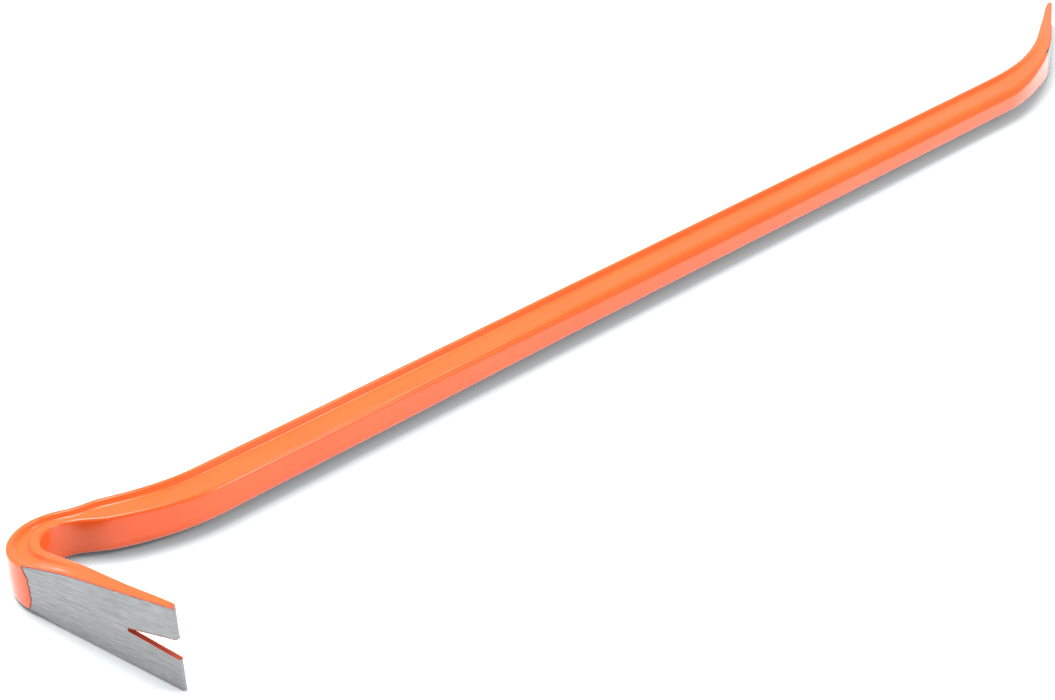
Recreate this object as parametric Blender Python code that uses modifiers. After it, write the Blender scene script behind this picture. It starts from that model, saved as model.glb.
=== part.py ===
"""Gooseneck wrecking bar, 900 mm long: a fluted steel forging and the powder coat on it.

The bar is one drop forging, so it is built as one loft along its centre line: a flared claw with
a V nail slot, the heel, a swan neck, a straight shank fluted on both flat sides, and a bent
chisel. The powder coat is a thin open shell over it, with the two ground faces left bare.

In the bar's own plane, the centre line lies at z = 0, +X runs along the shank from the heel to
the chisel, and +Y is the heel's convex side. The finished bar lies on its side on a floor at
z = 0, resting on the claw, the heel and the chisel, with its origin under the middle of its box.
"""
import math

import bmesh
import bpy
import numpy as np
from mathutils import Vector

MM = 0.001

# Centre line from the claw's edge to the chisel's edge: name, length of a straight run or radius
# of a bend, turn in degrees (left is positive, 0 for a straight run), and steps along it.
CENTRE_LINE = (
    ("slot", 28.0 * MM, 0.0, 4),
    ("claw_leg", 58.0 * MM, 0.0, 6),
    ("claw_lip", 2.5 * MM, 0.0, 1),
    ("claw_bend", 24.5 * MM, -74.5, 9),
    ("heel_bend", 21.0 * MM, -43.5, 5),
    ("neck", 16.0 * MM, 0.0, 2),
    ("swan_bend", 105.0 * MM, 27.0, 7),
    ("shank", 624.5 * MM, 0.0, 8),
    ("chisel_bend", 210.0 * MM, 28.5, 8),
    ("chisel", 81.5 * MM, 0.0, 5),
)

# Section sizes: run of the centre line, fraction along it, width in the bar's plane, height
# across the plane, depth of the flutes and radius of the edges. A monotone cubic joins the rows.
SECTIONS = (
    ("slot", 0.00, 3.0 * MM, 36.2 * MM, 0.0 * MM, 0.40 * MM),
    ("claw_leg", 0.05, 6.6 * MM, 31.1 * MM, 0.0 * MM, 0.40 * MM),
    ("claw_leg", 0.60, 10.5 * MM, 25.6 * MM, 0.1 * MM, 0.50 * MM),
    ("claw_lip", 1.00, 15.2 * MM, 19.2 * MM, 0.9 * MM, 0.70 * MM),
    ("claw_bend", 1.00, 13.8 * MM, 17.6 * MM, 1.3 * MM, 1.00 * MM),
    ("heel_bend", 1.00, 13.3 * MM, 15.8 * MM, 1.5 * MM, 1.20 * MM),
    ("neck", 1.00, 20.8 * MM, 15.5 * MM, 1.8 * MM, 1.40 * MM),
    ("swan_bend", 1.00, 24.4 * MM, 13.0 * MM, 2.0 * MM, 1.60 * MM),
    ("shank", 0.50, 24.4 * MM, 12.6 * MM, 2.0 * MM, 1.80 * MM),
    ("shank", 1.00, 24.4 * MM, 13.0 * MM, 2.0 * MM, 1.80 * MM),
    ("chisel_bend", 0.50, 15.6 * MM, 15.6 * MM, 1.4 * MM, 1.20 * MM),
    ("chisel_bend", 1.00, 9.0 * MM, 18.2 * MM, 0.2 * MM, 0.60 * MM),
    ("chisel", 0.50, 6.1 * MM, 17.0 * MM, 0.0 * MM, 0.50 * MM),
    ("chisel", 1.00, 3.0 * MM, 15.5 * MM, 0.0 * MM, 0.40 * MM),
)

# Rims beside a flute, each at most a share of the section's width, and the flute wall's run.
OUTER_RIM = 3.6 * MM
INNER_RIM = 4.2 * MM
WALL_RUN = 1.1 * MM
OUTER_RIM_SHARE = 0.26
INNER_RIM_SHARE = 0.30
WALL_RUN_SHARE = 0.07
SIDE_CROWN = 0.3 * MM
CORNER_STEPS = 3

# V nail slot through the claw, as long as the first run of the centre line.
SLOT_STATIONS = 4
SLOT_MOUTH = 9.0 * MM
SLOT_ROOT = 1.6 * MM

# Ground faces left bare: stations of the claw's outer side, and of the chisel's inner side.
CLAW_GROUND_STATIONS = 11
CHISEL_GROUND_STATIONS = 8

COAT_THICKNESS = 0.25 * MM
COAT_GAP = 0.3 * MM

# How the bar leans when it lies on the floor, in degrees about +X and +Y.
REST_ROLL = -4.53
REST_PITCH = -0.14

STEEL_COLOUR = (0.42, 0.43, 0.45, 1.0)
COAT_COLOUR = (0.93, 0.16, 0.03, 1.0)


def clear_scene():
    for item in list(bpy.data.objects):
        bpy.data.objects.remove(item, do_unlink=True)


def make_material(name, colour, roughness, metallic):
    material = bpy.data.materials.new(name)
    material.use_nodes = True
    shader = material.node_tree.nodes["Principled BSDF"]
    shader.inputs["Base Color"].default_value = colour
    shader.inputs["Roughness"].default_value = roughness
    shader.inputs["Metallic"].default_value = metallic
    return material


def run_length(size, turn):
    """Length along one run of the centre line: a straight run, or an arc of radius size."""
    return size if turn == 0.0 else size * math.radians(abs(turn))


def centre_line():
    """Stations as (distance, point, heading), and the distance at which each run starts."""
    heading = -math.radians(sum(turn for _, _, turn, _ in CENTRE_LINE[:7]))
    point = Vector((0.0, 0.0))
    distance = 0.0
    stations = [(distance, point.copy(), heading)]
    starts = {}
    for name, size, turn, steps in CENTRE_LINE:
        starts[name] = distance
        length = run_length(size, turn) / steps
        bend = math.radians(turn) / steps
        chord = length if turn == 0.0 else length * math.sin(bend / 2) / (bend / 2)
        for _ in range(steps):
            middle = heading + bend / 2
            point = point + chord * Vector((math.cos(middle), math.sin(middle)))
            heading += bend
            distance += length
            stations.append((distance, point.copy(), heading))
        if name == "swan_bend":
            origin = point.copy()
    return [(d, p - origin, h) for d, p, h in stations], starts


def smooth_table(knots, values, places):
    """Monotone cubic through the knots, so that a size never overshoots between two rows."""
    run = np.diff(knots)
    slope = np.diff(values) / run
    tangent = np.concatenate(([slope[0]], np.zeros(len(slope) - 1), [slope[-1]]))
    for k in range(1, len(slope)):
        if slope[k - 1] * slope[k] > 0:
            before = 2 * run[k] + run[k - 1]
            after = run[k] + 2 * run[k - 1]
            tangent[k] = (before + after) / (before / slope[k - 1] + after / slope[k])
    k = np.clip(np.searchsorted(knots, places, side="right") - 1, 0, len(run) - 1)
    u = (places - knots[k]) / run[k]
    start = (1 + 2 * u) * (1 - u) ** 2 * values[k] + u * (1 - u) ** 2 * run[k] * tangent[k]
    end = u * u * (3 - 2 * u) * values[k + 1] - u * u * (1 - u) * run[k] * tangent[k + 1]
    return start + end


def section_sizes(stations, starts):
    """Width, height, flute depth and edge radius at each station."""
    lengths = {name: run_length(size, turn) for name, size, turn, _ in CENTRE_LINE}
    knots = np.array([starts[row[0]] + row[1] * lengths[row[0]] for row in SECTIONS])
    places = np.array([distance for distance, _, _ in stations])
    columns = [np.array([row[k] for row in SECTIONS]) for k in range(2, 6)]
    return list(zip(*(smooth_table(knots, column, places).tolist() for column in columns)))


def half_section(sizes, slot, inset, outer_inset, inner_inset):
    """Upper half of a section, from its outer side to its inner side, as (across, up) pairs.

    The insets shrink the section under the coat: on the flat sides and in the flutes, on the
    outer side and on the inner side. The slot is half the nail slot's width, or 0.
    """
    width, height, flute, radius = sizes
    outer = width / 2 - outer_inset
    inner = width / 2 - inner_inset
    top = height / 2 - inset
    shift = inset / 2
    crown = min(SIDE_CROWN, flute / 4)
    outer_rim = min(OUTER_RIM, OUTER_RIM_SHARE * width)
    inner_rim = min(INNER_RIM, INNER_RIM_SHARE * width)
    wall = min(WALL_RUN, WALL_RUN_SHARE * width)
    corner = [math.pi / 2 * k / CORNER_STEPS for k in range(CORNER_STEPS + 1)]
    points = [(outer, slot)]
    for angle in corner:
        points.append((outer - crown - radius + radius * math.cos(angle),
                       top - radius + radius * math.sin(angle)))
    rim_edge = width / 2 - outer_rim + shift
    points += [(rim_edge, top), (rim_edge - wall, top - flute)]
    rim_edge = inner_rim - width / 2 - shift
    points += [(rim_edge + wall, top - flute), (rim_edge, top)]
    for angle in reversed(corner):
        points.append((radius - inner + crown - radius * math.cos(angle),
                       top - radius + radius * math.sin(angle)))
    points.append((-inner, slot))
    return points


def add_half(mesh, station, points, side):
    """Add the vertices of one half section; side is 1 for the upper half, -1 for the lower."""
    _, point, heading = station
    normal = Vector((-math.sin(heading), math.cos(heading)))
    return [mesh.verts.new((*(point + across * normal), side * up)) for across, up in points]


def bar_surface(inset, painted_only):
    """Loft the bar, shrunk by inset under the coat; painted_only leaves the ground faces out."""
    stations, starts = centre_line()
    sizes = section_sizes(stations, starts)
    last = len(stations) - 1
    claw_ground = range(0, CLAW_GROUND_STATIONS)
    chisel_ground = range(last + 1 - CHISEL_GROUND_STATIONS, last + 1)
    mesh = bmesh.new()
    uppers, lowers = [], []
    for k, station in enumerate(stations):
        slot = 0.0
        if k <= SLOT_STATIONS:
            share = k / SLOT_STATIONS
            slot = ((1 - share) * SLOT_MOUTH + share * SLOT_ROOT) / 2 + inset
        outer_inset = 0.0 if k in claw_ground else inset
        inner_inset = 0.0 if k in chisel_ground else inset
        points = half_section(sizes[k], slot, inset, outer_inset, inner_inset)
        upper = add_half(mesh, station, points, 1)
        if slot:
            lower = add_half(mesh, station, points, -1)
        else:
            lower = [upper[0]] + add_half(mesh, station, points[1:-1], -1) + [upper[-1]]
        if k == SLOT_STATIONS:
            for vertex in (upper[0], upper[-1], lower[0], lower[-1]):
                vertex.co.x += inset * math.cos(station[2])
                vertex.co.y += inset * math.sin(station[2])
        uppers.append(upper)
        lowers.append(lower)

    sides = len(uppers[0]) - 1
    outer_side = range(0, CORNER_STEPS + 1)
    inner_side = range(sides - 1 - CORNER_STEPS, sides)
    for k in range(last):
        for j in range(sides):
            claw_bare = k in claw_ground and j in outer_side
            chisel_bare = k + 1 in chisel_ground and j in inner_side
            if painted_only and (claw_bare or chisel_bare):
                continue
            for half in (uppers, lowers):
                quad = (half[k][j], half[k][j + 1], half[k + 1][j + 1], half[k + 1][j])
                mesh.faces.new(quad if half is uppers else quad[::-1])
    add_slot(mesh, uppers, lowers, painted_only)
    if not painted_only:
        mesh.faces.new(uppers[0][::-1])
        mesh.faces.new(lowers[0])
        mesh.faces.new(uppers[last] + lowers[last][-2:0:-1])
    return mesh


def add_slot(mesh, uppers, lowers, painted_only):
    """Walls of the nail slot, and the small faces that close the sides behind its root."""
    root = SLOT_STATIONS
    for k in range(root):
        near, far = uppers[k], uppers[k + 1]
        mesh.faces.new((near[-1], near[0], far[0], far[-1]))
        near, far = lowers[k], lowers[k + 1]
        mesh.faces.new((near[0], near[-1], far[-1], far[0]))
    upper, lower, behind = uppers[root], lowers[root], uppers[root + 1]
    mesh.faces.new((upper[0], lower[0], lower[-1], upper[-1]))
    mesh.faces.new((upper[-1], lower[-1], behind[-1]))
    if not painted_only:
        mesh.faces.new((lower[0], upper[0], behind[0]))


def add_object(name, mesh, material, collection):
    data = bpy.data.meshes.new(name)
    mesh.to_mesh(data)
    mesh.free()
    data.materials.append(material)
    data.shade_smooth()
    data.set_sharp_from_angle(angle=math.radians(35))
    item = bpy.data.objects.new(name, data)
    collection.objects.link(item)
    return item


def lay_down(items, collection):
    """Parent the bar to an empty that leans it as it rests, over the origin and on z = 0."""
    rest = bpy.data.objects.new("rest_pose", None)
    collection.objects.link(rest)
    rest.rotation_euler = (math.radians(REST_ROLL), math.radians(REST_PITCH), 0.0)
    turn = rest.rotation_euler.to_matrix()
    corners = np.array([turn @ vertex.co for item in items for vertex in item.data.vertices])
    low, high = corners.min(axis=0), corners.max(axis=0)
    rest.location = (-(low[0] + high[0]) / 2, -(low[1] + high[1]) / 2, -low[2])
    for item in items:
        item.parent = rest


def main():
    clear_scene()
    collection = bpy.data.collections.new("wrecking_bar")
    bpy.context.scene.collection.children.link(collection)
    steel = make_material("forged_steel", STEEL_COLOUR, 0.38, 1.0)
    paint = make_material("orange_coat", COAT_COLOUR, 0.28, 0.0)

    bar_mesh = bar_surface(COAT_THICKNESS + COAT_GAP, painted_only=False)
    bar = add_object("forged_bar", bar_mesh, steel, collection)
    coat_mesh = bar_surface(0.0, painted_only=True)
    coat = add_object("paint_coat", coat_mesh, paint, collection)
    shell = coat.modifiers.new("thickness", "SOLIDIFY")
    shell.thickness = COAT_THICKNESS
    shell.offset = -1.0
    shell.use_even_offset = True
    lay_down([bar, coat], collection)


main()
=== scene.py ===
"""Looks of the wrecking bar: a fine loft of the forging, and the orange coat as a skin on it.

The loft follows the same centre line as the CAD model. Its sections are finer: filleted flutes,
rounded rims, a ragged edge where the coat meets the ground steel, and a round-ended nail slot.
A station is a distance along the centre line from the claw's edge. The tables and the loft are in
millimetres, and finish_mesh turns them into metres. The studio is in metres throughout.
"""
import math

import bmesh
import bpy
import numpy as np
from mathutils import Matrix, Vector
from mathutils.kdtree import KDTree


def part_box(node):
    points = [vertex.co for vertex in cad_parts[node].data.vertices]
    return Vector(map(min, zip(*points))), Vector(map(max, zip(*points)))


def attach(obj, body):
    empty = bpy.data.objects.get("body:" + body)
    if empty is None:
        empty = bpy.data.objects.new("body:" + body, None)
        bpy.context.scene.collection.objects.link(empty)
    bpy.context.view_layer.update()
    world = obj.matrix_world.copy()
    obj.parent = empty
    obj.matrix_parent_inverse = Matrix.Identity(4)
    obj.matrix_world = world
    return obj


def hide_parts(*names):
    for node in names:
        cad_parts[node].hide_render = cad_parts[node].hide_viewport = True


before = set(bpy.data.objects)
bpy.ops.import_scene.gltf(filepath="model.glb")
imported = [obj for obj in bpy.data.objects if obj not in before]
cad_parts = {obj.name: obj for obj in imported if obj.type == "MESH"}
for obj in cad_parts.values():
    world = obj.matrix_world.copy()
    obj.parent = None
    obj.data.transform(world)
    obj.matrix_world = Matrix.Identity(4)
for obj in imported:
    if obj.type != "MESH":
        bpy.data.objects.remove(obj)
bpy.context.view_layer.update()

MM = 0.001

# Centre line: name, length of a straight run or radius of a bend, turn in degrees (left is
# positive), and the spacing of the rows along it.
RUNS = (
    ("slot", 28.0, 0.0, 1.4),
    ("claw_leg", 50.0, 0.0, 1.8),
    ("claw_lip", 10.5, 0.0, 0.6),
    ("claw_bend", 24.5, -74.5, 0.7),
    ("heel_bend", 21.0, -43.5, 0.9),
    ("neck", 16.0, 0.0, 1.3),
    ("swan_bend", 105.0, 27.0, 1.6),
    ("shank", 624.5, 0.0, 4.0),
    ("chisel_bend", 210.0, 28.5, 1.3),
    ("chisel", 81.5, 0.0, 1.5),
)

# Station, outer and inner half width, height, flute depth, and the radius of the outer edge, of
# the upper inner edge and of the lower inner edge. Last: how much deeper the lower half is.
SECTIONS = (
    (0.0, 1.15, 0.15, 35.4, 0.00, 0.12, 0.12, 0.12, 0.00),
    (0.35, 1.45, 0.45, 36.1, 0.00, 0.15, 0.15, 0.15, 0.00),
    (0.8, 1.52, 0.95, 36.2, 0.00, 0.15, 0.25, 0.25, 0.00),
    (2.0, 1.60, 1.75, 36.0, 0.00, 0.15, 0.35, 0.35, 0.00),
    (5.0, 1.79, 2.55, 35.5, 0.00, 0.15, 0.45, 0.45, 0.00),
    (12.0, 2.23, 2.85, 34.5, 0.00, 0.15, 0.55, 0.55, 0.00),
    (31.0, 3.45, 3.30, 31.6, 0.00, 0.15, 0.60, 0.60, 0.00),
    (62.8, 5.55, 5.25, 26.7, 0.25, 0.15, 0.80, 0.90, 0.00),
    (82.0, 7.00, 6.85, 21.3, 1.05, 0.20, 0.95, 1.00, 0.00),
    (88.5, 7.60, 7.60, 19.4, 1.45, 0.35, 1.00, 1.20, 0.00),
    (104.0, 7.40, 7.20, 18.3, 1.85, 0.80, 1.10, 1.40, 0.00),
    (120.4, 6.95, 6.85, 17.5, 2.00, 1.00, 1.20, 1.60, 0.00),
    (136.3, 6.65, 6.65, 15.9, 2.05, 1.15, 1.30, 2.00, 0.50),
    (152.3, 10.40, 10.40, 15.5, 2.30, 1.30, 1.40, 4.20, 1.20),
    (201.8, 12.20, 12.20, 13.0, 2.60, 1.50, 1.50, 6.20, 3.00),
    (290.0, 12.20, 12.20, 12.7, 2.70, 1.55, 2.00, 6.40, 3.00),
    (360.0, 12.20, 12.20, 12.7, 2.70, 1.60, 3.00, 6.40, 2.60),
    (430.0, 12.20, 12.20, 12.7, 2.70, 1.60, 3.90, 6.40, 2.30),
    (560.0, 12.20, 12.20, 12.7, 2.70, 1.60, 4.70, 6.40, 2.20),
    (826.3, 12.20, 12.20, 13.0, 2.60, 1.60, 5.00, 6.40, 2.20),
    (878.5, 7.80, 7.80, 15.6, 1.40, 1.30, 3.00, 4.20, 1.00),
    (897.0, 6.50, 6.50, 16.8, 1.00, 1.10, 1.30, 1.80, 0.00),
    (912.0, 5.50, 5.50, 17.7, 0.50, 0.80, 0.30, 0.35, 0.00),
    (930.7, 4.50, 4.50, 18.2, 0.08, 0.60, 0.15, 0.15, 0.00),
    (971.5, 3.05, 3.05, 17.0, 0.00, 0.50, 0.15, 0.15, 0.00),
    (1009.0, 1.65, 1.60, 15.6, 0.00, 0.50, 0.15, 0.15, 0.00),
    (1012.24, 0.10, 1.40, 15.0, 0.00, 0.10, 0.12, 0.12, 0.00),
)

# Width of the flat rims beside a flute, and how far across each of the flute's walls slopes.
OUTER_RIM = 2.9
INNER_RIM = 4.2
OUTER_WALL = 2.1
INNER_WALL = 1.15

# The most that each of them takes of the bar's thickness, where the bar is thin.
OUTER_RIM_SHARE = 0.26
INNER_RIM_SHARE = 0.30
OUTER_WALL_SHARE = 0.13
INNER_WALL_SHARE = 0.08
RIM_LAND = 1.0

# Fillets at the top and foot of each wall, as a share of how far across the wall slopes.
OUTER_TOP_FILLET = 0.35
OUTER_FOOT_FILLET = 0.55
INNER_FOOT_FILLET = 0.62
INNER_TOP_FILLET = 0.40
LEAST_RADIUS = 0.05

# How far the sides lean in towards the flat faces: at most this, or this share of the flute's depth.
CROWN = 0.32
CROWN_SHARE = 1 / 5

# Points along the sides and round the corners of a half section, and on its other runs.
SIDE_STEPS = 13
CORNER_STEPS = 8
INNER_CORNER_STEPS = CORNER_STEPS + 2
CORNER_COUNTS = (0, CORNER_STEPS, 5, 6, 5, 4, INNER_CORNER_STEPS, 0)
RUN_COUNTS = (SIDE_STEPS, 3, 1, 7, 1, 3, SIDE_STEPS)

# Nail slot: length, width at the claw's edge and at the round root, and depth of its straight wall,
# which is at most a share of the thickness. The bevel behind the wall fades out past the root.
SLOT_LENGTH = 28.0
SLOT_MOUTH = 8.8
SLOT_ROOT = 1.5
SLOT_WALL = 2.3
SLOT_WALL_SHARE = 0.7
BEVEL_FADE = 14.0

# Steps from the bevel to the slot's knee and on along its straight wall, and rows round its root.
WALL_STEPS = 8
KNEE_STEP = 4
ROOT_ROWS = 7
ROOT_START = 0.15

# Extra rows near the claw's edge. The coat starts after them on the inner side, but elsewhere
# after the first.
TIP_ROWS = (0.35, 0.8, 1.4)
BARE_INNER_ROWS = len(TIP_ROWS) + 1
BARE_ROWS = 1

# Coat: thickness, gap to the steel, how far the painted shade reaches in from its open edges, and where
# it ends.
COAT = 0.15
STEEL_GAP = 0.02
CUT_SHADE_REACH = 0.9
CLAW_LIP = 86.0
CHISEL_LIP = 900.0
LIP_REACH = 9.0

# Shape of each line where the coat ends: offset, bow and slant over the height, and raggedness.
CLAW_LIP_BACK = 1.3
CLAW_LIP_BOW = 0.024
CLAW_LIP_SLANT = 0.10
CLAW_LIP_RAGGED = 0.55
CHISEL_LIP_BOW = 0.05
CHISEL_LIP_RAGGED = 0.35
RIPPLE_RATES = (0.55, 1.3, 2.4, 4.3, 7.1)
RIPPLE_TOP = 2.2

SHARP_ANGLE = math.radians(38)
REST_ROLL = math.radians(-4.53)
REST_PITCH = math.radians(-0.14)

# Colours are linear. The coat is patchy between two oranges. The dark red along its open edges and on the
# nail slot's wall is painted shade.
DEEP_ORANGE = (0.93, 0.096, 0.007, 1.0)
BRIGHT_ORANGE = (0.97, 0.114, 0.010, 1.0)
CUT_SHADE_RED = (0.36, 0.018, 0.006, 1.0)
CUT_SHADE_STRENGTH = 0.8
CUT_ROUGHNESS = 0.45
COAT_ROUGHNESS = (0.16, 0.24)
COAT_IOR = 1.5
PATCH_SCALE = 14.0
PEEL_SCALE = 520.0
DUST_SCALE = 2400.0

# Ground steel: its streaks run along the bar, so their scale is small along it and large across.
DARK_STEEL = (0.170, 0.170, 0.171, 1.0)
LIGHT_STEEL = (0.305, 0.305, 0.306, 1.0)
STEEL_ROUGHNESS = (0.46, 0.38)
WIDE_STREAKS = (42.0, 1500.0, 1.0)
FINE_STREAKS = (160.0, 4200.0, 1.0)
STREAK_RANGE = (0.7, 1.3)

# Floor: two pale greys, the light that it gives off, and the stronger glow that only a gloss sees, which
# is a painted reflection.
FLOOR_HALF = 12.0
FLOOR_LOW = (0.76, 0.79, 0.795, 1.0)
FLOOR_HIGH = (0.78, 0.81, 0.815, 1.0)
FLOOR_GLOW = (0.98, 0.99, 1.0, 1.0)
GLOW = 0.06
GLOW_IN_GLOSS = 0.55

SKY = (0.97, 0.985, 1.0, 1.0)
SKY_STRENGTH = 0.64

# Lamps: name, place, target, width and length in metres, and power in watts.
LAMPS = (
    ("overhead", (-0.1, 1.3, 2.4), (0.0, 0.0, 0.0), (1.7, 2.6), 138.0),
    ("front", (0.75, -1.4, 1.1), (-0.2, 0.0, 0.0), (0.45, 0.45), 13.0),
    ("edge", (0.85, 0.15, 1.55), (-0.3, 0.0, 0.0), (0.35, 0.35), 4.0),
)

CAMERA_PLACE = (-0.882, -0.660, 0.520)
CAMERA_HEADING = math.radians(42.46)
CAMERA_PITCH = math.radians(27.46)
LENS_MM = 77.99
SENSOR_MM = 36.0


def smooth_table(knots, values, places):
    """Monotone cubic through the knots, so that a size never overshoots between two rows."""
    run = np.diff(knots)
    slope = np.diff(values) / run
    tangent = np.concatenate(([slope[0]], np.zeros(len(slope) - 1), [slope[-1]]))
    for k in range(1, len(slope)):
        if slope[k - 1] * slope[k] > 0:
            before = 2 * run[k] + run[k - 1]
            after = run[k] + 2 * run[k - 1]
            tangent[k] = (before + after) / (before / slope[k - 1] + after / slope[k])
    k = np.clip(np.searchsorted(knots, places, side="right") - 1, 0, len(run) - 1)
    u = (places - knots[k]) / run[k]
    start = (1 + 2 * u) * (1 - u) ** 2 * values[k] + u * (1 - u) ** 2 * run[k] * tangent[k]
    end = u * u * (3 - 2 * u) * values[k + 1] - u * u * (1 - u) * run[k] * tangent[k + 1]
    return start + end


def spine():
    """Stations, points and headings along the centre line, with the shank along +X at y = 0."""
    heading = -math.radians(sum(turn for _, _, turn, _ in RUNS[:7]))
    station, point = 0.0, np.zeros(2)
    rows = [(station, *point, heading)]
    for name, size, turn, spacing in RUNS:
        length = size if turn == 0.0 else size * math.radians(abs(turn))
        steps = max(2, round(length / spacing))
        marks = np.linspace(0.0, 1.0, steps + 1)[1:]
        if name == "slot":
            flank_end = 1.0 - SLOT_ROOT / 2 / length
            quarter = np.linspace(ROOT_START, 1.0, ROOT_ROWS) * math.pi / 2
            root = 1.0 - (1.0 - flank_end) * (1.0 - np.sin(quarter))
            tip = np.array(TIP_ROWS) / length
            marks = np.concatenate((tip, np.linspace(tip[-1], flank_end, steps + 1)[1:], root))
        done = 0.0
        for mark in marks:
            share = mark - done
            bend = math.radians(turn) * share
            chord = length * share
            if turn:
                chord *= math.sin(bend / 2) / (bend / 2)
            middle = heading + bend / 2
            point = point + chord * np.array([math.cos(middle), math.sin(middle)])
            heading += bend
            done = mark
            rows.append((station + length * mark, *point, heading))
        station += length
        if name == "swan_bend":
            origin = point
    rows = np.array(rows)
    rows[:, 1:3] -= origin
    return rows


def round_corner(before, corner, after, reach, count):
    """Points of a circular arc that rounds a corner, starting reach before it."""
    inward = (before - corner) / np.linalg.norm(before - corner)
    onward = (after - corner) / np.linalg.norm(after - corner)
    weight = math.sqrt(max(0.0, (1 - float(inward @ onward)) / 2))
    t = np.linspace(0.0, 1.0, count)[:, None]
    a, b, c = (1 - t) ** 2, 2 * t * (1 - t) * weight, t ** 2
    start, end = corner + inward * reach, corner + onward * reach
    return (a * start + b * corner + c * end) / (a + b + c)


def straight(start, end, count):
    """Points between two ends, without the ends themselves."""
    t = np.linspace(0.0, 1.0, count + 2)[1:-1, None]
    return start + (end - start) * t


def half_section(outer, inner, height, flute, outer_radius, inner_radius, slots, inset):
    """Upper half of a section in mm, from the outer side round to the inner side."""
    width = outer + inner
    outer_rim = min(OUTER_RIM, OUTER_RIM_SHARE * width)
    inner_rim = min(max(INNER_RIM, inner_radius + RIM_LAND), INNER_RIM_SHARE * width)
    outer_wall = min(OUTER_WALL, OUTER_WALL_SHARE * width)
    inner_wall = min(INNER_WALL, INNER_WALL_SHARE * width)
    top = height / 2 - inset
    floor = top - flute
    corners = np.array([
        (outer - inset, slots[0]), (outer - inset, top),
        (outer - outer_rim + inset / 2, top), (outer - outer_rim - outer_wall + inset / 2, floor),
        (inner_rim + inner_wall - inner - inset / 2, floor), (inner_rim - inner - inset / 2, top),
        (inset - inner, top), (inset - inner, slots[1]),
    ])
    reach = (
        0.0, max(LEAST_RADIUS, outer_radius - inset),
        OUTER_TOP_FILLET * outer_wall, OUTER_FOOT_FILLET * outer_wall,
        INNER_FOOT_FILLET * inner_wall, INNER_TOP_FILLET * inner_wall,
        max(LEAST_RADIUS, inner_radius - inset), 0.0,
    )
    points = [corners[:1]]
    for k in range(7):
        if k:
            near, corner, far = corners[k - 1:k + 2]
            points.append(round_corner(near, corner, far, reach[k], CORNER_COUNTS[k]))
        start = points[-1][-1]
        onward = corners[k + 1] - corners[k]
        end = corners[k + 1] - onward / np.linalg.norm(onward) * reach[k + 1]
        points.append(straight(start, end, RUN_COUNTS[k]))
    points.append(corners[7:])
    points = np.concatenate(points)
    crown = min(CROWN, flute * CROWN_SHARE)
    rise = np.clip(points[:, 1] / top, 0.0, 1.0) ** 2
    outside = np.clip((points[:, 0] - (outer - outer_rim)) / outer_rim, 0.0, 1.0)
    inside = np.clip((inner_rim - inner - points[:, 0]) / inner_rim, 0.0, 1.0)
    points[:, 0] += crown * rise * (inside - outside)
    return points


def slot_edge(station):
    """Half height of the nail slot at a station, and its outline's normal there: along, up."""
    mouth, root = SLOT_MOUTH / 2, SLOT_ROOT / 2
    flank_end = SLOT_LENGTH - root
    if station <= flank_end:
        flank = math.atan2(mouth - root, flank_end)
        return mouth + (root - mouth) * station / flank_end, math.sin(flank), math.cos(flank)
    along = min(1.0, (station - flank_end) / root)
    up = math.sqrt(1.0 - along ** 2)
    return root * up, along, up


def ripple(across, seed):
    """A ragged line: the sum of a few waves along a ground edge, about 1 at most."""
    return sum(
        math.sin(across * rate + seed * (1.7 + index) + 2.1 * index) / (1.0 + 0.45 * index)
        for index, rate in enumerate(RIPPLE_RATES)
    ) / RIPPLE_TOP


def lip_shift(stations, lip, wanted):
    """Slide the rows of one column along the bar, so that its row at the lip lies at wanted."""
    window = np.clip(1.0 - ((stations - lip) / LIP_REACH) ** 2, 0.0, 1.0) ** 2
    return stations + (wanted - lip) * window


def claw_lip_at(up):
    """Station where the coat ends on the claw, at a height above the bar's middle."""
    curve = CLAW_LIP - CLAW_LIP_BACK + CLAW_LIP_BOW * up * up + CLAW_LIP_SLANT * max(up, 0.0)
    return curve + CLAW_LIP_RAGGED * ripple(up, 1.0)


def chisel_lip_at(up):
    """Station where the coat ends on the chisel, at a height above the bar's middle."""
    return CHISEL_LIP + CHISEL_LIP_RAGGED * ripple(up, 4.0) - CHISEL_LIP_BOW * up * up


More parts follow.
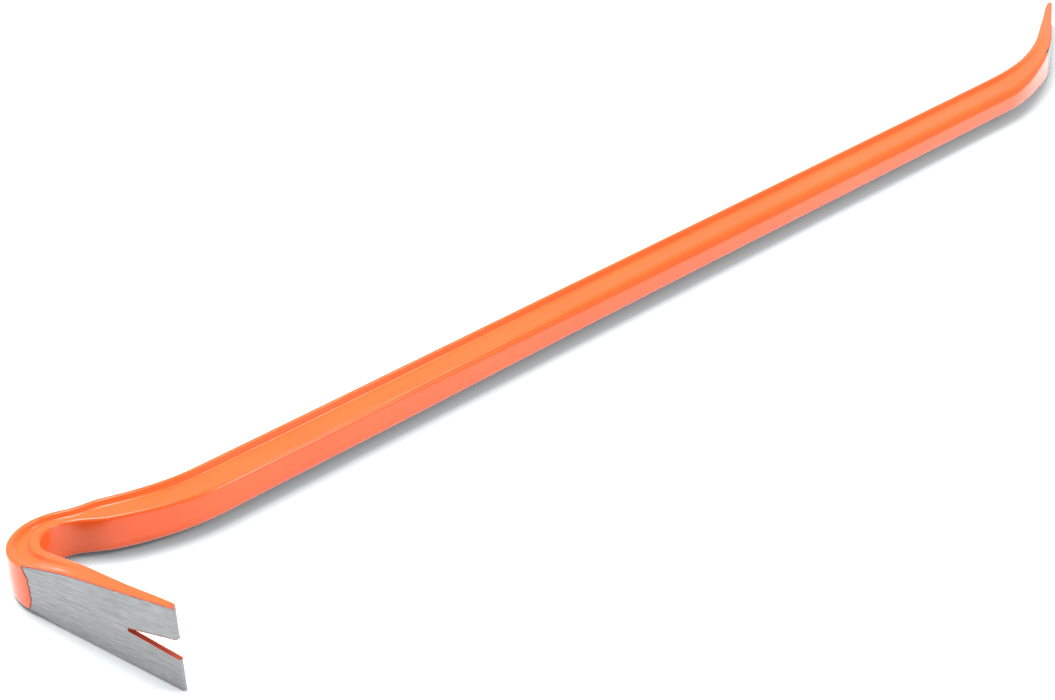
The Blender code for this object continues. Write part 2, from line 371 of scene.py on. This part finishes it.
class Loft:
    """The bar's surface at one depth under the coat's outside, as rows of points on two halves."""

    def __init__(self, inset):
        rows = spine()
        self.stations, headings = rows[:, 0], rows[:, 3]
        self.last_slot = int(np.searchsorted(self.stations, SLOT_LENGTH - 1e-6))
        table = np.array(SECTIONS)
        sizes = np.stack(
            [smooth_table(table[:, 0], column, self.stations) for column in table.T[1:]], 1)
        thickness = sizes[:, 0] + sizes[:, 1] - 2 * inset
        bevel = np.maximum(0.0, thickness + inset - SLOT_WALL)
        self.wall_depth = np.minimum(SLOT_WALL - inset, SLOT_WALL_SHARE * thickness)
        self.inward = np.stack([np.sin(headings), -np.cos(headings), np.zeros(len(rows))], 1)
        slots = np.zeros((len(rows), 2))
        shift = np.zeros(len(rows))
        for k, station in enumerate(self.stations[:self.last_slot]):
            opening, along, up = slot_edge(station)
            slots[k] = opening + inset, opening + inset + bevel[k] * up
            shift[k] = bevel[k] * along
        beyond = np.clip(1.0 - (self.stations[self.last_slot:] - SLOT_LENGTH) / BEVEL_FADE, 0.0, 1.0)
        shift[self.last_slot:] = bevel[self.last_slot] * beyond ** 2
        halves = []
        for side, radius in ((1, 5), (-1, 6)):
            grid = []
            for k, (_, x, y, _) in enumerate(rows):
                outer, inner, height, flute, outer_radius = sizes[k, :5]
                if side < 0:
                    height += 2 * sizes[k, 7]
                section = half_section(outer, inner, height, flute, outer_radius, sizes[k, radius],
                                       slots[k], inset)
                across = np.array([x, y]) - section[:, :1] * self.inward[k, :2]
                grid.append(np.column_stack([across, side * section[:, 1]]))
            halves.append(np.array(grid))
        steps = np.linalg.norm(np.diff(halves[0], axis=1), axis=2)
        self.across = np.concatenate((slots[:, :1], slots[:, :1] + np.cumsum(steps, axis=1)), 1)
        self.columns = halves[0].shape[1]
        self.outer_side = SIDE_STEPS + CORNER_STEPS + 1
        self.inner_side = self.columns - (SIDE_STEPS + INNER_CORNER_STEPS + 1)
        self.halves = [self.ragged(self.bevelled(grid, shift)) for grid in halves]

    def bevelled(self, grid, shift):
        """Slide the rows of the inner side along, so that the bevel runs round the slot's root."""
        for j in range(self.inner_side, self.columns):
            share = (j - self.inner_side) / (self.columns - 1 - self.inner_side)
            places = self.stations + shift * share ** 2
            for axis in (0, 1):
                grid[:, j, axis] = np.interp(places, self.stations, grid[:, j, axis])
        return grid

    def ragged(self, grid):
        """Slide the rows near each ground edge, so that the coat ends there in a ragged line."""
        self.claw_row = int(np.argmin(abs(self.stations - CLAW_LIP)))
        self.chisel_row = int(np.argmin(abs(self.stations - CHISEL_LIP)))
        groups = (
            (range(0, self.outer_side + 1), self.claw_row, claw_lip_at),
            (range(self.inner_side, self.columns), self.chisel_row, chisel_lip_at),
        )
        for columns, row, lip_at in groups:
            lip = self.stations[row]
            for j in columns:
                wanted = lip_at(grid[row, j, 2])
                places = lip_shift(self.stations, lip, wanted)
                grid[:, j] = np.stack(
                    [np.interp(places, self.stations, grid[:, j, axis]) for axis in range(3)], 1)
        return grid


def surface_points(loft):
    """All points of a loft, with their station and their distance around the bar, in mm."""
    points = [half.reshape(-1, 3) for half in loft.halves]
    stations = [np.repeat(loft.stations, loft.columns)] * 2
    around = [loft.across.ravel(), -loft.across.ravel()]
    slot = slice(0, loft.last_slot)
    for half in loft.halves:
        near, far = half[slot, -1], half[slot, 0]
        knee = far + loft.inward[slot] * loft.wall_depth[slot, None]
        for step in range(1, WALL_STEPS):
            if step <= KNEE_STEP:
                points.append(near + (knee - near) * step / KNEE_STEP)
            else:
                points.append(knee + (far - knee) * (step - KNEE_STEP) / (WALL_STEPS - KNEE_STEP))
            stations.append(loft.stations[slot])
            around.append(loft.across[slot, -1] + step)
    return np.concatenate(points), np.concatenate(stations), np.concatenate(around)


def slot_wall_points(loft):
    """Indices of the points on the slot's straight wall, outside its bevel."""
    first, rows = 2 * len(loft.stations) * loft.columns, loft.last_slot
    return {first + (half * (WALL_STEPS - 1) + step - 1) * rows + k
            for half in (0, 1) for step in range(KNEE_STEP, WALL_STEPS) for k in range(rows)}


def surface_faces(loft, painted):
    """Faces over those points: all of them, or if painted only those that the coat covers."""
    rows, columns = len(loft.stations), loft.columns
    slot_rows = loft.last_slot

    def vertex(half, k, j):
        if k >= slot_rows and j in (0, columns - 1):
            half = 0
        return half * rows * columns + k * columns + j

    def wall_vertex(half, k, step):
        if step == 0:
            return vertex(half, k, columns - 1)
        if step == WALL_STEPS:
            return vertex(half, k, 0)
        if k == slot_rows:
            return None
        return 2 * rows * columns + (half * (WALL_STEPS - 1) + step - 1) * slot_rows + k

    faces = []
    for half in (0, 1):
        turn = 1 if half == 0 else -1
        for k in range(rows - 1):
            for j in range(columns - 1):
                bare_claw = k < loft.claw_row and j < loft.outer_side
                bare_chisel = k >= loft.chisel_row and j >= loft.inner_side
                on_inner_side = j >= loft.inner_side - CORNER_STEPS
                bare_tip = k < (BARE_INNER_ROWS if on_inner_side else BARE_ROWS)
                if painted and (bare_tip or bare_claw or bare_chisel):
                    continue
                quad = (vertex(half, k, j), vertex(half, k, j + 1),
                        vertex(half, k + 1, j + 1), vertex(half, k + 1, j))
                faces.append(quad[::turn])
        for k in range(BARE_ROWS if painted else 0, slot_rows - 1):
            for step in range(WALL_STEPS):
                quad = (wall_vertex(half, k, step), wall_vertex(half, k, step + 1),
                        wall_vertex(half, k + 1, step + 1), wall_vertex(half, k + 1, step))
                faces.append(quad[::turn])
    end = slot_rows - 1
    upper = [wall_vertex(0, end, step) for step in range(WALL_STEPS + 1)]
    lower = [wall_vertex(1, end, step) for step in range(WALL_STEPS + 1)]
    for step in range(WALL_STEPS):
        faces.append((upper[step], upper[step + 1], lower[step + 1], lower[step]))
    faces.append((upper[0], lower[0], vertex(0, slot_rows, columns - 1)))
    if not painted:
        faces.append((lower[-1], upper[-1], vertex(0, slot_rows, 0)))
        for half in (0, 1):
            ring = [vertex(half, 0, j) for j in range(columns)]
            ring += [wall_vertex(half, 0, step) for step in range(1, WALL_STEPS)]
            faces.append(tuple(ring[::-1] if half == 0 else ring))
        above = [vertex(0, rows - 1, j) for j in range(columns)]
        below = [vertex(1, rows - 1, j) for j in range(1, columns - 1)]
        faces.append(tuple(above + below[::-1]))
    return faces


def open_edges(faces):
    """Edges of only one face, each in that face's direction."""
    edges = {(face[i - 1], face[i]) for face in faces for i in range(len(face))}
    return [edge for edge in edges if edge[::-1] not in edges]


def steel_mesh():
    """The whole bar in steel, just under the coat."""
    loft = Loft(COAT + STEEL_GAP)
    return finish_mesh("steel_bar", *surface_points(loft), surface_faces(loft, False))


def coat_mesh():
    """A closed skin: the outer surface, an inner one under it, and a rim where it ends."""
    outside, inside = Loft(0.0), Loft(COAT)
    faces = surface_faces(outside, True)
    rim = sorted(open_edges(faces))
    points, stations, around = surface_points(outside)
    inner_points = surface_points(inside)[0]
    count = len(points)
    faces += [tuple(index + count for index in face[::-1]) for face in faces]
    faces += [(second, first, first + count, second + count) for first, second in rim]
    # Painted shade goes on the coat's open edges and on the slot's straight wall.
    shaded = {edge[0] for edge in rim} | slot_wall_points(outside)
    return finish_mesh("orange_coat", np.concatenate((points, inner_points)), np.tile(stations, 2),
                       np.tile(around, 2), faces, shaded)


def finish_mesh(name, points, stations, around, faces, cut_shade=()):
    """Blender object from points in mm, with a UV map along and around the bar in metres.

    Its painted-shade attribute is 1 at the points it is given and falls to 0 a short way from them.
    """
    data = bpy.data.meshes.new(name)
    data.from_pydata([tuple(point) for point in points * MM], [], faces)
    corners = np.empty(len(data.loops), np.int32)
    data.loops.foreach_get("vertex_index", corners)
    layer = data.uv_layers.new(name="along_bar")
    uv = np.column_stack([stations[corners], around[corners]]) * MM
    layer.data.foreach_set("uv", uv.astype(np.float32).ravel())
    tree = KDTree(max(1, len(cut_shade)))
    for index in cut_shade:
        tree.insert(points[index].tolist(), index)
    tree.balance()
    if cut_shade:
        reach = [1.0 - tree.find(point)[2] / CUT_SHADE_REACH for point in points.tolist()]
        painted_edge_shade = data.attributes.new("painted_edge_shade", "FLOAT", "POINT")
        painted_edge_shade.data.foreach_set("value", np.clip(reach, 0.0, 1.0).astype(np.float32))
    mesh = bmesh.new()
    mesh.from_mesh(data)
    loose = [vertex for vertex in mesh.verts if not vertex.link_faces]
    bmesh.ops.delete(mesh, geom=loose, context="VERTS")
    mesh.to_mesh(data)
    mesh.free()
    data.shade_smooth()
    data.set_sharp_from_angle(angle=SHARP_ANGLE)
    item = bpy.data.objects.new(name, data)
    bpy.context.scene.collection.objects.link(item)
    return item


def lay_down(items):
    """Lean the loft as the bar rests, and set it over the CAD model's box."""
    turn = Matrix.Rotation(REST_PITCH, 4, "Y") @ Matrix.Rotation(REST_ROLL, 4, "X")
    for item in items:
        item.data.transform(turn)
    points = np.concatenate([
        np.array([vertex.co for vertex in item.data.vertices]) for item in items])
    low, high = points.min(axis=0), points.max(axis=0)
    boxes = [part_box(node) for node in ("forged_bar", "paint_coat")]
    cad_low = np.min([np.array(box[0]) for box in boxes], axis=0)
    cad_high = np.max([np.array(box[1]) for box in boxes], axis=0)
    shift = (cad_low + cad_high) / 2 - (low + high) / 2
    shift[2] = cad_low[2] - low[2]
    for item in items:
        item.data.transform(Matrix.Translation(Vector(shift)))


def new_material(name):
    """A new material, with its node tree and its Principled shader."""
    material = bpy.data.materials.new(name)
    material.use_nodes = True
    tree = material.node_tree
    return material, tree, tree.nodes["Principled BSDF"]


def add_node(tree, kind, inputs=None, **settings):
    """A shader node with some settings, whose inputs are linked or set to a value."""
    node = tree.nodes.new("ShaderNode" + kind)
    for key, value in settings.items():
        setattr(node, key, value)
    for key, value in (inputs or {}).items():
        if isinstance(value, bpy.types.NodeSocket):
            tree.links.new(value, node.inputs[key])
        else:
            node.inputs[key].default_value = value
    return node


def stretched(tree, vector, scale):
    """Texture coordinates scaled by a different amount along each axis."""
    return add_node(tree, "Mapping", {"Vector": vector, "Scale": scale}).outputs["Vector"]


def noise(tree, vector, scale, detail):
    """Value of a noise texture."""
    node = add_node(tree, "TexNoise", {"Vector": vector, "Scale": scale, "Detail": detail})
    return node.outputs["Fac"]


def ramp(tree, value, low, high, start, end):
    """Map a value between two bounds onto a range."""
    node = add_node(tree, "MapRange", {0: value, 1: low, 2: high, 3: start, 4: end})
    return node.outputs[0]


def coat_material():
    """Glossy powder coat with a faint orange peel. It is duller where it ends, and painted shade turns it
    dark red there and on the slot's wall.
    """
    material, tree, shader = new_material("orange_powder_coat")
    place = add_node(tree, "TexCoord").outputs["Object"]
    patch = noise(tree, place, PATCH_SCALE, 3.0)
    peel = noise(tree, place, PEEL_SCALE, 2.0)
    dust = noise(tree, place, DUST_SCALE, 2.0)
    colour = add_node(tree, "ValToRGB", {"Fac": patch})
    colour.color_ramp.elements[0].position = 0.3
    colour.color_ramp.elements[0].color = DEEP_ORANGE
    colour.color_ramp.elements[1].position = 0.7
    colour.color_ramp.elements[1].color = BRIGHT_ORANGE
    # Painted shade: this mask darkens the coat to dark red at its open edges and on the slot's wall, and
    # also dulls it there.
    cut_shade = add_node(tree, "Attribute", attribute_name="painted_edge_shade").outputs["Fac"]
    edge = ramp(tree, cut_shade, 0.0, 0.9, 0.0, CUT_SHADE_STRENGTH)
    mix = add_node(tree, "Mix", data_type="RGBA")
    tree.links.new(edge, mix.inputs["Factor"])
    tree.links.new(colour.outputs["Color"], mix.inputs["A"])
    mix.inputs["B"].default_value = CUT_SHADE_RED
    tree.links.new(mix.outputs["Result"], shader.inputs["Base Color"])
    gloss = ramp(tree, dust, 0.3, 0.7, *COAT_ROUGHNESS)
    dulled = ramp(tree, cut_shade, 0.3, 1.0, 0.0, CUT_ROUGHNESS)
    rough = add_node(tree, "Math", {0: dulled, 1: gloss}, operation="ADD")
    tree.links.new(rough.outputs[0], shader.inputs["Roughness"])
    bump = add_node(tree, "Bump", {"Height": peel, "Strength": 0.10, "Distance": 0.00005})
    tree.links.new(bump.outputs["Normal"], shader.inputs["Normal"])
    shader.inputs["IOR"].default_value = COAT_IOR
    return material


def steel_material():
    """Ground steel with streaks along the bar."""
    material, tree, shader = new_material("ground_steel")
    along = add_node(tree, "UVMap", uv_map="along_bar").outputs["UV"]
    wide = {"Vector": stretched(tree, along, WIDE_STREAKS), "Scale": 1.0, "Detail": 3.0, "Roughness": 0.6}
    lines = add_node(tree, "TexNoise", wide).outputs["Fac"]
    fine = noise(tree, stretched(tree, along, FINE_STREAKS), 1.0, 2.0)
    mixed = add_node(tree, "Math", {0: lines, 1: fine}, operation="ADD").outputs[0]
    colour = add_node(tree, "ValToRGB", {"Fac": ramp(tree, mixed, *STREAK_RANGE, 0.0, 1.0)})
    colour.color_ramp.elements[0].color = DARK_STEEL
    colour.color_ramp.elements[1].color = LIGHT_STEEL
    tree.links.new(colour.outputs["Color"], shader.inputs["Base Color"])
    tree.links.new(ramp(tree, mixed, *STREAK_RANGE, *STEEL_ROUGHNESS), shader.inputs["Roughness"])
    bump = add_node(tree, "Bump", {"Height": lines, "Strength": 0.25, "Distance": 0.00003})
    tree.links.new(bump.outputs["Normal"], shader.inputs["Normal"])
    shader.inputs["Metallic"].default_value = 1.0
    return material


def floor_material():
    """A light table: white sheet lit faintly from below, and brighter only where a gloss mirrors it, a
    painted reflection.
    """
    material, tree, shader = new_material("pale_floor")
    place = add_node(tree, "TexCoord").outputs["Object"]
    cloud = add_node(tree, "TexNoise", {"Vector": place, "Scale": 3.0}).outputs["Fac"]
    colour = add_node(tree, "ValToRGB", {"Fac": cloud})
    colour.color_ramp.elements[0].color = FLOOR_LOW
    colour.color_ramp.elements[1].color = FLOOR_HIGH
    tree.links.new(colour.outputs["Color"], shader.inputs["Base Color"])
    shader.inputs["Roughness"].default_value = 0.7
    # Painted reflection: seen in a gloss, the floor glows far brighter than it looks to the camera.
    glossy = add_node(tree, "LightPath").outputs["Is Glossy Ray"]
    shader.inputs["Emission Color"].default_value = FLOOR_GLOW
    glow = ramp(tree, glossy, 0.0, 1.0, GLOW, GLOW_IN_GLOSS)
    tree.links.new(glow, shader.inputs["Emission Strength"])
    return material


def add_softbox(name, place, target, size, power):
    """A rectangular lamp that the camera can't see."""
    light = bpy.data.lights.new(name, "AREA")
    light.shape = "RECTANGLE"
    light.size, light.size_y = size
    light.energy = power
    item = bpy.data.objects.new(name, light)
    item.location = place
    item.visible_camera = False
    item.rotation_euler = (Vector(target) - Vector(place)).to_track_quat("-Z", "Y").to_euler()
    bpy.context.scene.collection.objects.link(item)


def add_floor():
    """A plain pale floor under the bar."""
    mesh = bmesh.new()
    bmesh.ops.create_grid(mesh, x_segments=8, y_segments=8, size=FLOOR_HALF)
    data = bpy.data.meshes.new("floor")
    mesh.to_mesh(data)
    mesh.free()
    data.materials.append(floor_material())
    item = bpy.data.objects.new("floor", data)
    bpy.context.scene.collection.objects.link(item)


def add_camera():
    """Camera above the claw's end, looking along the bar and down at it."""
    camera = bpy.data.cameras.new("camera")
    camera.sensor_width = SENSOR_MM
    camera.lens = LENS_MM
    item = bpy.data.objects.new("camera", camera)
    item.location = CAMERA_PLACE
    level = math.cos(CAMERA_PITCH)
    forward = Vector((math.cos(CAMERA_HEADING) * level, math.sin(CAMERA_HEADING) * level,
                      -math.sin(CAMERA_PITCH)))
    item.rotation_euler = forward.to_track_quat("-Z", "Y").to_euler()
    bpy.context.scene.collection.objects.link(item)
    bpy.context.scene.camera = item


def light_scene():
    """Plain soft studio light, and colours shown as they are."""
    scene = bpy.context.scene
    scene.view_settings.view_transform = "Standard"
    world = bpy.data.worlds.new("studio")
    world.use_nodes = True
    background = world.node_tree.nodes["Background"]
    background.inputs["Color"].default_value = SKY
    background.inputs["Strength"].default_value = SKY_STRENGTH
    scene.world = world
    for lamp in LAMPS:
        add_softbox(*lamp)


def main():
    """Build, place and paint the bar, then the studio around it."""
    skin = coat_mesh()
    bar = steel_mesh()
    lay_down([skin, bar])
    skin.data.materials.append(coat_material())
    bar.data.materials.append(steel_material())
    for item, node, slot in ((skin, "paint_coat", "coat"), (bar, "forged_bar", "steel")):
        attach(item, "root")
        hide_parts(node)
    # The floor's soft shadow stays neutral: the coat bounces no orange light on to it.
    skin.visible_diffuse = False
    add_floor()
    light_scene()
    add_camera()


main()
